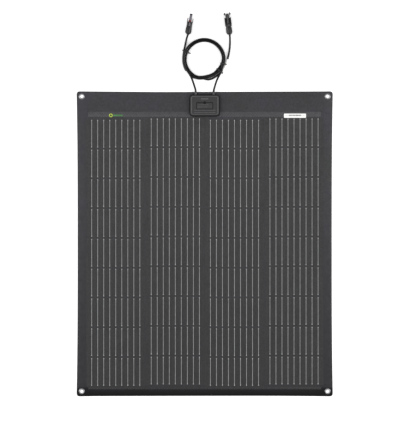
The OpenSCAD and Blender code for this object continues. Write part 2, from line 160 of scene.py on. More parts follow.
class Paint:
    """A material with short calls that add and join its shader nodes. Coordinates are metres."""

    def __init__(self, name, flexes=False, **sockets):
        self.material = bpy.data.materials.new(name)
        self.material.use_nodes = True
        self.tree = self.material.node_tree
        self.shader = self.tree.nodes["Principled BSDF"]
        for socket, value in sockets.items():
            self.shader.inputs[socket.replace("_", " ")].default_value = value
        if flexes:
            place = self.add("ShaderNodeAttribute")
            place.attribute_name = "rest_place"
            self.place = place.outputs["Vector"]
        else:
            self.place = self.add("ShaderNodeTexCoord").outputs["Object"]

    def add(self, kind, **inputs):
        node = self.tree.nodes.new(kind)
        for name, value in inputs.items():
            socket = node.inputs[name.replace("_", " ")]
            if isinstance(value, bpy.types.NodeSocket):
                self.tree.links.new(value, socket)
            else:
                socket.default_value = value
        return node

    def stretch(self, x, y, z):
        return self.add("ShaderNodeMapping", Vector=self.place, Scale=(x, y, z)).outputs["Vector"]

    def noise(self, size, detail=3, vector=None):
        """Soft noise whose grains are about size metres across."""
        node = self.add("ShaderNodeTexNoise", Vector=vector or self.place, Scale=1 / size)
        node.inputs["Detail"].default_value = detail
        return node.outputs["Fac"]

    def cells(self, size):
        """Round dimples about size metres across."""
        return self.add("ShaderNodeTexVoronoi", Vector=self.place, Scale=1 / size).outputs["Distance"]

    def math(self, operation, a, b=0.0, c=0.0):
        node = self.tree.nodes.new("ShaderNodeMath")
        node.operation = operation
        for socket, value in zip(node.inputs, (a, b, c)):
            if isinstance(value, bpy.types.NodeSocket):
                self.tree.links.new(value, socket)
            else:
                socket.default_value = value
        return node.outputs[0]

    def ramp(self, factor, *stops):
        """A colour ramp of (position, sRGB code) stops."""
        node = self.add("ShaderNodeValToRGB", Fac=factor)
        marks = node.color_ramp.elements
        while len(marks) < len(stops):
            marks.new(0.5)
        for mark, (position, code) in zip(marks, stops):
            mark.position = position
            mark.color = tone(code)
        return node.outputs["Color"]

    def mix(self, factor, a, b):
        node = self.tree.nodes.new("ShaderNodeMix")
        node.data_type = "RGBA"
        for name, value in (("Factor_Float", factor), ("A_Color", a), ("B_Color", b)):
            socket = next(s for s in node.inputs if s.identifier == name)
            if isinstance(value, bpy.types.NodeSocket):
                self.tree.links.new(value, socket)
            else:
                socket.default_value = value
        return next(s for s in node.outputs if s.identifier == "Result_Color")

    def spread(self, factor, low, high):
        """Maps 0.3 to 0.7, where most of a noise lies, to low and high."""
        node = self.add("ShaderNodeMapRange", Value=factor)
        node.inputs["From Min"].default_value = 0.3
        node.inputs["From Max"].default_value = 0.7
        node.inputs["To Min"].default_value = low
        node.inputs["To Max"].default_value = high
        return node.outputs["Result"]

    def fade(self, value, start, end):
        """1 before start and 0 after end, with a smooth turn between them."""
        node = self.add("ShaderNodeMapRange", Value=value)
        node.interpolation_type = "SMOOTHSTEP"
        node.inputs["From Min"].default_value = start
        node.inputs["From Max"].default_value = end
        node.inputs["To Min"].default_value = 1
        node.inputs["To Max"].default_value = 0
        return node.outputs["Result"]

    def set(self, **sockets):
        for name, value in sockets.items():
            self.tree.links.new(value, self.shader.inputs[name.replace("_", " ")])

    def bump(self, height, depth, under=None):
        """Relief of that depth in metres, on top of another relief."""
        node = self.add("ShaderNodeBump", Height=height, Distance=depth)
        if under is not None:
            self.tree.links.new(under, node.inputs["Normal"])
        return node.outputs["Normal"]


def laminate_paint(name, shine):
    """Textured front film: dark grey with a faint violet cast, and painted shade that darkens it down
    the sheet and most at its lower edge."""
    p = Paint(name, flexes=True, Specular_IOR_Level=shine)
    split = p.add("ShaderNodeSeparateXYZ", Vector=p.place)
    x, y = split.outputs["X"], split.outputs["Y"]
    base = p.ramp(p.noise(0.07, 4), (0.35, "2a2b2a"), (0.5, "2f2e32"), (0.65, "33313a"))
    speck = p.ramp(p.noise(0.0016, 2), (0.25, "222224"), (0.75, "3c3c40"))
    base = p.mix(0.35, base, speck)
    grain = p.ramp(p.noise(0.006, 3), (0.32, "1c1c1d"), (0.68, "403f43"))
    base = p.mix(0.3, base, grain)
    base = p.mix(p.math("MULTIPLY", p.fade(x, -0.385, -0.335), 0.5), base, tone("2b2a31"))
    # painted shade: the film darkens down the sheet, more in the side margins than over the cells
    middle = p.fade(p.math("ABSOLUTE", x), 0.33, 0.385)
    shade = p.math("MULTIPLY", p.fade(y, -0.45, 0.3), p.math("MULTIPLY_ADD", middle, -0.5, 0.9))
    base = p.mix(shade, base, tone("1c1c20"))
    # painted shade: darkest along the sheet's lower edge
    low = p.fade(y, -0.473, -0.425)
    base = p.mix(low, base, tone("0c0c0c"))
    p.set(Base_Color=base, Roughness=p.spread(p.noise(0.012), 0.46, 0.62))
    weave = p.bump(p.cells(WEAVE), WEAVE_DEPTH)
    p.set(Normal=p.bump(p.noise(0.035, 2), 0.0009, weave))
    return p.material


def cell_paint():
    """A cell under the film: grey-black silicon with painted shade that darkens it a little down the
    sheet, and fine fingers across it."""
    p = Paint("cell_surface", flexes=True, Specular_IOR_Level=0.3)
    y = p.add("ShaderNodeSeparateXYZ", Vector=p.place).outputs["Y"]
    finger = p.math("PINGPONG", p.math("MULTIPLY", y, 1 / FINGER_PITCH), 1)
    finger = p.math("GREATER_THAN", finger, 0.9)
    base = p.ramp(p.noise(0.045, 4), (0.3, "232325"), (0.7, "2c2c2e"))
    speck = p.ramp(p.noise(0.0042, 2), (0.3, "121213"), (0.7, "3c3c3e"))
    base = p.mix(0.4, base, speck)
    streak = p.noise(0.004, 2, p.stretch(1, 0.03, 1))
    base = p.mix(p.spread(streak, 0, 0.35), base, tone("3a3938"))
    # painted shade: a little darker down the sheet, as on the film
    base = p.mix(p.math("MULTIPLY", p.fade(y, -0.45, 0.25), 0.3), base, tone("161618"))
    base = p.mix(p.math("MULTIPLY", finger, 0.25), base, tone("5b5b60"))
    p.set(Base_Color=base, Roughness=p.spread(p.noise(0.01), 0.42, 0.58))
    weave = p.bump(p.cells(WEAVE), WEAVE_DEPTH)
    p.set(Normal=p.bump(p.noise(0.03, 2), 0.0006, weave))
    return p.material


def band_paint(name, dark, light):
    """The film over the cross ribbons, pressed into a fine slanted check."""
    p = Paint(name, flexes=True, Specular_IOR_Level=0.3)
    split = p.add("ShaderNodeSeparateXYZ", Vector=p.place)
    x, y = split.outputs["X"], split.outputs["Y"]
    ways = []
    for sign in (1, -1):
        slant = p.math("ADD", p.math("MULTIPLY", x, 1 / 0.008), p.math("MULTIPLY", y, sign / 0.0095))
        ways.append(p.math("PINGPONG", slant, 0.5))
    check = p.math("MULTIPLY", p.math("ADD", *ways), p.spread(p.noise(0.006, 2), 0.55, 1.25))
    base = p.ramp(check, (0.15, dark), (0.75, light))
    p.set(Base_Color=base, Roughness=p.spread(p.noise(0.004), 0.45, 0.6))
    p.set(Normal=p.bump(check, 0.0003))
    return p.material


def simple_paint(name, dark, light, grain, rough, depth, flexes=False, **sockets):
    """A two-tone surface: large soft blotches, fine grain, and roughness and relief from the grain."""
    p = Paint(name, flexes=flexes, **sockets)
    grains = p.noise(grain, 4)
    blotch = p.ramp(p.noise(grain * 14, 3), (0.3, dark), (0.7, light))
    p.set(Base_Color=p.mix(p.spread(grains, 0, 0.5), blotch, tone(light)))
    p.set(Roughness=p.spread(p.noise(grain * 5), *rough), Normal=p.bump(grains, depth))
    return p.material


def make_paints():
    plain = simple_paint
    return {
        "laminate": laminate_paint("front_laminate", 0.3),
        "laminate_low": laminate_paint("lower_margin", 0.11),
        "cell": cell_paint(),
        "cell_edge": plain("cell_edge", "101012", "18181a", 0.002, (0.5, 0.6), 0.00002, True),
        "film_edge": plain("film_edge", "141415", "1c1c1e", 0.001, (0.5, 0.7), 0.00005, True),
        "backing": plain("backing", "161617", "222224", 0.0012, (0.6, 0.8), 0.00006, True),
        "ribbon": plain("tinned_ribbon", "9c9c9e", "bababa", 0.0008, (0.3, 0.45), 0.00002, True,
                        Metallic=0.2),
        "upper_band": band_paint("upper_band", "333336", "4a4a4d"),
        # the lower band's darker tones are painted shade, as on the film's lower margin
        "lower_band_painted_shade": band_paint("lower_band_painted_shade", "1a1a1c", "2e2e30"),
        "eyelet": plain("eyelet_metal", "8e8e90", "a6a6a8", 0.003, (0.16, 0.3), 0.00001,
                        Metallic=0.9),
        "label": plain("label_paper", "eeeeec", "f6f6f4", 0.0008, (0.5, 0.6), 0.00001),
        "print": plain("label_print", "6a6a6a", "868686", 0.0008, (0.5, 0.6), 0.00001),
        "green": plain("green_mark", "97b02c", "b9cf3e", 0.0012, (0.4, 0.5), 0.00001),
        # also the near-black bead round the box and the pads under the glands: adhesive, and painted shadow
        "pad": plain("adhesive_pad_and_painted_shadow", "070707", "0e0e0e", 0.001, (0.7, 0.9), 0.0001,
                     Specular_IOR_Level=0.15),
        "box": plain("box_plastic", "19191b", "232325", 0.0006, (0.38, 0.5), 0.00003),
        # also paints shade into the lid's groove and round notch
        "gasket": plain("gasket_rubber_and_painted_shade", "080808", "101010", 0.001, (0.6, 0.7), 0.00002,
                        Specular_IOR_Level=0.2),
        "copper": plain("copper_rail", "a8683c", "c98a58", 0.001, (0.3, 0.45), 0.00002, Metallic=1.0),
        "diode": plain("diode_body", "101011", "1a1a1b", 0.0005, (0.3, 0.4), 0.00002),
        "tinned": plain("tinned_metal", "bcbcbe", "dadadc", 0.0006, (0.2, 0.35), 0.00002,
                        Metallic=1.0),
        # also paints shade on the lid's sloped edge
        "gland": plain("gland_rubber_and_painted_shade", "121213", "1c1c1d", 0.0008, (0.5, 0.65), 0.00003),
        "cable": plain("cable_jacket", "060607", "0e0e0f", 0.0007, (0.28, 0.4), 0.00003,
                       Specular_IOR_Level=0.2),
        "tie": plain("tie_nylon", "070708", "101011", 0.0008, (0.3, 0.45), 0.00002),
        "connector": plain("connector_plastic", "090909", "131314", 0.0005, (0.22, 0.36), 0.00003),
        "latch": plain("latch_plastic", "303032", "3e3e40", 0.0005, (0.35, 0.5), 0.00003),
        "nose": plain("nose_plastic", "57545c", "6c6872", 0.0005, (0.35, 0.5), 0.00003),
        # a paler copy of the box plastic: painted highlight on the lid's rim, ribs, tab and bars and on the
        # glands' sleeves
        "box_painted_highlight": plain("box_plastic_painted_highlight", "39393b", "4b4b4d", 0.0006, (0.38, 0.5), 0.00003),
        "green_centre": plain("green_mark_centre", "0a1a0a", "142a12", 0.0012, (0.4, 0.5), 0.00001),
        "dark_green": plain("dark_green_mark", "2e5c30", "407a3e", 0.0012, (0.4, 0.5), 0.00001),
        "red": plain("red_seal", "5e141c", "781e28", 0.0006, (0.35, 0.5), 0.00002),
    }


# ---- Meshes ----

SHARP_ANGLE = 32                # degrees, from which an edge stays sharp
ROUTE_STEP = 3.0
TUBE_SIDES = 20
CORNER_POINTS = 7


def keep_place(mesh):
    """Stores each point's place at rest, so that the patterns stay put when the sheet bends."""
    if "rest_place" in mesh.attributes:
        mesh.attributes.remove(mesh.attributes["rest_place"])
    place = mesh.attributes.new("rest_place", "FLOAT_VECTOR", "POINT")
    place.data.foreach_set("vector", np.array([v.co for v in mesh.vertices], np.float32).ravel())


def smooth_over(mesh):
    """Smooth shading that keeps the sharp edges."""
    mesh.shade_smooth()
    mesh.set_sharp_from_angle(angle=math.radians(SHARP_ANGLE))


def as_object(name, bm, *materials, body=None):
    """Turns a mesh in millimetres into a piece in metres."""
    bmesh.ops.scale(bm, vec=(MM, MM, MM), verts=bm.verts)
    bmesh.ops.recalc_face_normals(bm, faces=bm.faces)
    mesh = bpy.data.meshes.new(name)
    bm.to_mesh(mesh)
    bm.free()
    for material in materials:
        mesh.materials.append(material)
    keep_place(mesh)
    smooth_over(mesh)
    piece = bpy.data.objects.new(name, mesh)
    bpy.context.collection.objects.link(piece)
    if body:
        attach(piece, body)
    return piece


def finish(name, bm, slot, replaced, *materials, body="root"):
    """Makes a mesh a piece with its body, which stands for the CAD nodes in replaced. Its slot is not used."""
    piece = as_object(name, bm, *materials, body=body)
    if replaced:
        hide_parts(*replaced)
    return piece


def loft(bm, rings, caps=True, material=0):
    """Joins rings of points, each with as many points as the next; caps closes both ends."""
    made = [[bm.verts.new(p) for p in ring] for ring in rings]
    faces = []
    for near, far in zip(made, made[1:]):
        for i in range(len(near)):
            j = (i + 1) % len(near)
            faces.append(bm.faces.new((near[i], near[j], far[j], far[i])))
    if caps:
        faces += [bm.faces.new(made[0]), bm.faces.new(made[-1])]
    for face in faces:
        face.material_index = material
    return faces


def smooth_route(points):
    """A smooth line through the points, as points about ROUTE_STEP apart."""
    p = [Vector(v) for v in points]
    p = [2 * p[0] - p[1], *p, 2 * p[-1] - p[-2]]
    line = []
    for a, b, c, d in zip(p, p[1:], p[2:], p[3:]):
        pieces = max(1, round((c - b).length / ROUTE_STEP))
        for i in range(pieces):
            t = i / pieces
            line.append(0.5 * (2 * b + (c - a) * t + (2 * a - 5 * b + 4 * c - d) * t * t
                               + (3 * b - a - 3 * c + d) * t ** 3))
    return [*line, p[-2]]


def length_of(line):
    return sum((b - a).length for a, b in zip(line, line[1:]))


def tube(bm, line, radius):
    """A round tube along a line; radius is a function of the share of the length."""
    whole, done, rings = length_of(line), 0.0, []
    side = Vector((0, 0, 1)).cross(line[1] - line[0]).normalized()
    for i, point in enumerate(line):
        if i:
            done += (point - line[i - 1]).length
        ahead = (line[min(i + 1, len(line) - 1)] - line[max(i - 1, 0)]).normalized()
        side = (side - side.dot(ahead) * ahead).normalized()
        up = ahead.cross(side)
        r = radius(done / whole)
        turns = [2 * math.pi * s / TUBE_SIDES for s in range(TUBE_SIDES)]
        rings.append([point + r * (math.cos(a) * side + math.sin(a) * up) for a in turns])
    return loft(bm, rings)


def lathe(bm, profile, place, sides=48, ribs=None, material=0):
    """A turned shape. Its profile is (radius, distance along the axis); ribs adds to the radius."""
    rings = []
    for radius, along in profile:
        ring = []
        for i in range(sides):
            turn = 2 * math.pi * i / sides
            r = radius + (ribs(turn, along) if ribs else 0)
            ring.append(place @ Vector((r * math.cos(turn), r * math.sin(turn), along)))
        rings.append(ring)
    return loft(bm, rings, caps=False, material=material)


def rounded(centre, size, radius):
    """A rounded rectangle as (x, y) points."""
    points = []
    for quarter, (sx, sy) in enumerate(((1, 1), (-1, 1), (-1, -1), (1, -1))):
        at = Vector(centre) + Vector((sx * (size[0] / 2 - radius), sy * (size[1] / 2 - radius)))
        for i in range(CORNER_POINTS):
            turn = math.pi / 2 * (quarter + i / (CORNER_POINTS - 1))
            points.append((at.x + radius * math.cos(turn), at.y + radius * math.sin(turn)))
    return points


def pillow(bm, centre, size, radius, z, soft, place=None, material=0):
    """A rounded plate whose edges are softened by soft; z is (bottom, top)."""
    steps = ((1, 0), (0.3, 0.3), (0, 1))
    levels = [(inset * soft, z[0] + up * soft) for inset, up in steps]
    levels += [(inset * soft, z[1] - up * soft) for inset, up in reversed(steps)]
    rings = []
    for inset, height in levels:
        outline = rounded(centre, (size[0] - 2 * inset, size[1] - 2 * inset), max(radius - inset, 0.05))
        ring = [Vector((x, y, height)) for x, y in outline]
        rings.append([place @ v for v in ring] if place else ring)
    return loft(bm, rings, material=material)


def ease(value, start, end):
    """0 before start and 1 after end, with a smooth turn between them."""
    t = min(max((value - start) / (end - start), 0), 1)
    return t * t * (3 - 2 * t)


# ---- Cords ----

CABLE_D = 6.0
COIL_AT = Vector((-1.2, 569.5))
LANE = 6.2                      # between two strands side by side
LEVEL = 6.3                     # between two strands on each other
FLOOR_Z = 4.1
TOP_Z = FLOOR_Z + 2 * LEVEL
OUTER_R = 63.3
NEST_R = 57.2                   # the outer lane where the right tail lies outside it
TAIL_R = 63.4
COIL_STEP = 10                  # degrees between two points of the coil

GLAND_X = 27.5
GLAND_Z = 9.2
CLAMP_Y = 446.9
GLAND_MOUTH = 463.5
PLUG_AT, PLUG_TILT = Vector((-51.9, 647.6, 10)), math.radians(-9.6)
SOCKET_AT, SOCKET_TILT = Vector((77, 646.7, 10)), math.radians(7.1)
CRIMP = 21.5                    # how far a cable goes into its connector
SLEEVE_R = 3.6

LEFT_LEAD = [
    (-GLAND_X, CLAMP_Y, GLAND_Z), (-GLAND_X, GLAND_MOUTH, GLAND_Z), (-28.3, 475, 9.6), (-32, 488, 11),
    (-36.4, 501, 13.8), (-41, 512.5, 16.2), (-46.2, 523, 16.7), (-53, 533.6, 16.7),
]
LEFT_TAIL = [
    (-40, 516.1, 4.1), (-49.2, 524.6, 4.1), (-57, 534.6, 4.1), (-62.5, 546, 4.1), (-65.6, 558, 4.1),
    (-66.7, 570, 4), (-66.2, 581, 3.8), (-64.4, 593, 3.7), (-62, 606, 3.9), (-59, 620, 5.6),
    (-55.8, 634, 8.6),
]
RIGHT_LEAD = [
    (GLAND_X, CLAMP_Y, GLAND_Z), (GLAND_X, GLAND_MOUTH, GLAND_Z), (28.3, 475, 9.6), (31.6, 487, 11),
    (35.6, 500, 13.8), (40.2, 511, 16.2), (45.6, 521.5, 16.7), (50.8, 532.5, 16.7),
]
RIGHT_TAIL = [
    (33, 516, 4.1), (41, 522, 3.8), (48.2, 529, 3.7), (55, 537, 3.7), (61.6, 546.8, 3.7),
    (66.8, 558.5, 3.7), (70.5, 570.5, 3.7), (73.4, 582, 3.5), (75.6, 593, 3.4), (77.2, 605, 3.8),
    (78, 619, 5.8), (78, 633, 8.8),
]


def outer_lane(turn):
    """Radius of the coil's outer lane, which the left cable fills. It gives way at the lower right."""
    a = (turn - 10) % 360 + 10
    return OUTER_R - (OUTER_R - NEST_R) * (ease(a, 242, 282) - ease(a, 315, 370))


def hump(turn):
    """How far the outer lane rises where the right tail crosses below it."""
    a = turn % 360
    return LEVEL * (ease(a, 234, 252) - ease(a, 286, 306))


def on_coil(turn, radius, z):
    a = math.radians(turn)
    return (COIL_AT.x + radius * math.cos(a), COIL_AT.y + radius * math.sin(a), z)


def into(at, tilt):
    """The cable's last two points, inside its connector."""
    return [at, at + CRIMP * Vector((-math.sin(tilt), math.cos(tilt), 0))]


def left_route():
    """Over the coil's lower left, clockwise twice round its outer lane, then out below to the plug."""
    entry, first, last = 237, 205, 242 - 720
    loop = []
    for turn in range(first, last - 1, -COIL_STEP):
        gone = entry - turn
        drop = ease(gone, 85, 110) + ease(gone, 445, 470)
        loop.append(on_coil(turn, outer_lane(turn), TOP_Z - LEVEL * drop + hump(turn)))
    return LEFT_LEAD + loop + LEFT_TAIL + into(PLUG_AT, PLUG_TILT)


def right_route():
    """Over the coil's lower right, anticlockwise twice round its inner lane, then out to the socket."""
    first, last = -27, 651
    loop = []
    for turn in range(first, last + 1, COIL_STEP):
        radius = outer_lane(turn) - LANE + 2 * LANE * (1 - ease(turn, -36, -8))
        radius += (TAIL_R - radius) * ease(turn, 610, 644)
        drop = ease(turn, -16, 6) + ease(turn, 270, 310)
        loop.append(on_coil(turn, radius, TOP_Z - LEVEL * drop))
    return RIGHT_LEAD + loop + RIGHT_TAIL + into(SOCKET_AT, SOCKET_TILT)


def make_cord(name, route, paint, replaced):
    """A smooth curve through a route's points. It leaves the box at the route's
    second point."""
    curve = bpy.data.curves.new(name, "CURVE")
    curve.dimensions = "3D"
    curve.resolution_u = 4
    curve.bevel_depth = CABLE_D / 2 * MM
    curve.bevel_resolution = 6
    curve.use_fill_caps = True
    spline = curve.splines.new("BEZIER")
    spline.bezier_points.add(len(route) - 1)
    for point, place in zip(spline.bezier_points, route):
        point.co = Vector(place) * MM
        point.handle_left_type = "AUTO"
        point.handle_right_type = "AUTO"
    curve.materials.append(paint)
    piece = bpy.data.objects.new(name, curve)
    bpy.context.collection.objects.link(piece)
    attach(piece, "root")
    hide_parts(*replaced)


def make_sleeve(bm, route, first, last):
    """A thin white sleeve around a cable, between two of its route's points, with narrowed ends."""
    line = smooth_route(route)
    start, stop = (min(range(len(line)), key=lambda i: (line[i] - Vector(p)).length)
                   for p in (first, last))
    tube(bm, line[start:stop + 1], lambda t: SLEEVE_R - 0.35 * (1 - ease(min(t, 1 - t), 0, 0.06)))


# (turn in degrees, inner and outer radius and top of the bundle there, head on the inside, stub)
TIES = [(157, 53.4, 72.4, 19.8, True), (-13, 51.4, 63.8, 18.9, False), (-37, 48, 67.4, 19.8, False, 3.6)]


def make_tie(bm, turn, inner, outer, top, stub_in, stub=7):
    """A band around the bundle, its head, and its cut end of length stub."""
    place = Matrix.Translation((*COIL_AT, 0)) @ Matrix.Rotation(math.radians(turn), 4, "Z")
    centre = ((inner + outer) / 2, (top + 1) / 2)
    across = (outer - inner + 2, top + 1)
    section = ((0, 0.35), (0, 3.25), (0.35, 3.6), (1, 3.6), (1, 0), (0.35, 0))
    loops = []
    for inset, along in section:
        loop = rounded(centre, (across[0] - 2 * inset, across[1] - 2 * inset), 4.2 - inset)
        loops.append([place @ Vector((x, along - 1.8, max(z, 0.1))) for x, z in loop])
    loft(bm, [*loops, loops[0]], caps=False)
    out = -1 if stub_in else 1
    edge = inner - 1 if stub_in else outer + 1
    head_z, stub_z = ((5, 8.4), (8, 9.2)) if stub_in else ((7.6, 11), (10.6, 11.8))
    pillow(bm, (edge + out * 1.4, 0), (3.2, 5), 0.7, head_z, 0.5, place)
    pillow(bm, (edge + out * (stub / 2 - 0.1), 0), (stub, 2.6), 0.5, stub_z, 0.3, place)


def make_cords(paints):
    left, right = left_route(), right_route()
    sleeves = bmesh.new()
    make_sleeve(sleeves, left, LEFT_TAIL[0], LEFT_TAIL[2])
    make_sleeve(sleeves, right, RIGHT_TAIL[3], RIGHT_TAIL[6])
    finish("sleeves", sleeves, "label", ["cable_tags"], paints["label"])
    ties = bmesh.new()
    for tie in TIES:
        make_tie(ties, *tie)
    finish("ties", ties, "tie", ["coil_ties"], paints["tie"])
    make_cord("left_cable", left, paints["cable"], ["cable_left_lead", "cable_left_tail"])
    make_cord("right_cable", right, paints["cable"],
              ["cable_right_lead", "cable_right_tail", "cable_coil"])


# ---- Connectors: along their own axis from the cable's entry to the mating end ----

UPRIGHT = Matrix.Rotation(-math.pi / 2, 4, "X")
ON_PLUG = Matrix.Translation(PLUG_AT) @ Matrix.Rotation(PLUG_TILT, 4, "Z") @ UPRIGHT
ON_SOCKET = Matrix.Translation(SOCKET_AT) @ Matrix.Rotation(SOCKET_TILT, 4, "Z") @ UPRIGHT
ENTRY_R = CABLE_D / 2 + 0.15
NUT_R = 9.1
NUT_RIBS = 12


def nut_ribs(turn, along):
    """Twelve soft grip ribs round the middle of a cap nut."""
    ridge = ease(math.cos(NUT_RIBS * (turn - math.radians(15))), 0.1, 0.85)
    return 0.7 * ridge * ease(along, 4, 6) * (1 - ease(along, 18.5, 20.5))


def make_nut(name, place, paints):
    """A ribbed cap nut, and the lip of the cable seal at its mouth."""
    bm = bmesh.new()
    outside = [(ENTRY_R, 5), (ENTRY_R, 0.8), (ENTRY_R + 0.6, 0.1), (5, 0), (6.4, 0.5), (7.6, 1.7),
               (8.6, 3.4), (NUT_R, 5.2)]
    outside += [(NUT_R, 5.2 + 2.1 * i) for i in range(1, 8)] + [(NUT_R, 21.4), (8.9, 22.5), (8.2, 23)]
    lathe(bm, outside + [(7.2, 23), (7.2, 20)], place, 8 * NUT_RIBS, nut_ribs)
    lathe(bm, [(ENTRY_R, -3.2), (3.6, -3), (4.1, -0.4), (4.4, 0.4)], place)
    finish(f"{name}_nut", bm, "connector", [f"{name}_cap_nut"], paints["connector"])


def make_plug(paints):
    """The housing, its side wings and key ribs, and the narrow nose."""
    bm = bmesh.new()
    lathe(bm, [(7.6, 22.2), (7.8, 22.9), (8.3, 23.3), (8.8, 23.9), (8.8, 30), (8.6, 36.6), (8.2, 37.8),
               (7.4, 38.4), (5.4, 38.5), (4.6, 38), (3.6, 38), (3.6, 43.4)], ON_PLUG, 64)
    for side in (-1, 1):
        pillow(bm, (side * 8, 0), (2.2, 7.2), 0.8, (35, 50), 0.6, ON_PLUG)
        pillow(bm, (side * 5.6, -6.9), (2.2, 1.4), 0.5, (25, 36), 0.4, ON_PLUG)
    pillow(bm, (0, -8.5), (3.6, 1.2), 0.5, (25, 35.5), 0.4, ON_PLUG, material=1)
    lathe(bm, [(3.6, 43.2), (3.95, 43.3), (4.15, 43.8), (4.15, 59.2), (4.05, 59.4)], ON_PLUG, material=1)
    lathe(bm, [(4.05, 59.4), (4.15, 59.8), (4.15, 62.8), (3.9, 63.7), (3.4, 64), (3.1, 63.8), (3.1, 46)],
          ON_PLUG)
    finish("plug_body", bm, "connector", ["plug_housing"], paints["connector"], paints["nose"])


def make_socket(paints):
    """The housing and its barrel, the collar and thin shroud plates, and the key ribs."""
    bm = bmesh.new()
    lathe(bm, [(7.6, 22.2), (7.8, 22.9), (8.3, 23.3), (8.8, 23.9), (8.8, 32.6), (8.3, 33.6), (5.6, 34),
               (5.6, 47.2), (5.4, 48), (5, 48.2), (5, 63.2), (4.8, 64), (4.4, 64), (4.3, 63.7),
               (4.3, 32.2), (2, 32.2)], ON_SOCKET, 64)
    pillow(bm, (0, 0), (20.6, 9), 1.6, (26, 34), 0.8, ON_SOCKET)
    pillow(bm, (0, 4), (19, 0.9), 0.4, (32, 52), 0.3, ON_SOCKET)
    for side in (-1, 1):
        pillow(bm, (side * 9.8, 0), (1, 9), 0.4, (30, 53), 0.35, ON_SOCKET)
        pillow(bm, (side * 5.4, -6.9), (2.2, 1.4), 0.5, (24.6, 32), 0.4, ON_SOCKET)
    pillow(bm, (0, -5.3), (3.6, 1.4), 0.5, (36, 62.5), 0.4, ON_SOCKET, material=1)
    pillow(bm, (0, -8.5), (5.6, 1.2), 0.5, (24.8, 31), 0.4, ON_SOCKET, material=1)
    finish("socket_body", bm, "connector", ["socket_housing"], paints["connector"], paints["latch"])


def make_connectors(paints):
    make_nut("plug", ON_PLUG, paints)
    make_nut("socket", ON_SOCKET, paints)
    make_plug(paints)
    make_socket(paints)


# ---- Junction box ----

BOX_AT = (0, 427.4)
BOX_SIZE = (90, 64)
BOX_R = 9
BOX_WALL = 2.4
TRAY_Z = (3.2, 14.4)
LID_Z = 15.2
LID_PLATE = 17.2
LID_TOP = 18.0
FIELD_AT = (0, 426.4)
FIELD_SIZE = (52, 22.6)
FIELD_R = 3
GROOVE_W = 2
GROOVE_FLOOR = 16.5
# (first ring, last ring, material) of the lid's sloped edge, rim and groove. Its materials are
# 0 box plastic, 1 dark rubber, painted shade in the groove, 2 a paler copy of the box plastic,
# a painted highlight on the rim, and 3 the gland's darker rubber, painted shade on the sloped edge.
LID_LOOKS = ((0, 4, 3), (4, 7, 2), (10, 13, 1))
LID_RIBS = (412.4, 405.4)
LID_RIB_SIZE = (66, 2.4)
LID_TAB_AT = (0, 447.6)
LID_TAB_SIZE = (22, 5)
LID_BARS = ((-5, 429, 34), (-7, 422.6, 30))         # (x, y, length), where the real lid has lettering
LID_DISC_AT = (0, 435.7, 0)
LID_DISC_R = 4.5
RELIEF_Z = LID_PLATE - 0.4                          # where the relief on the lid starts
BEAD_DROP = 0.7                                     # how far the dark bead, adhesive and painted shadow, reaches below the tray
GLAND_PAD_Y = 461
GLAND_Y = 455.9


def box_rings(steps, at=BOX_AT, size=BOX_SIZE, radius=BOX_R):
    """Rounded outlines of the box, each inset and raised as in steps."""
    rings = []
    for inset, z in steps:
        outline = rounded(at, (size[0] - 2 * inset, size[1] - 2 * inset), max(radius - inset, 1.2))
        rings.append([(x, y, z) for x, y in outline])
    return rings


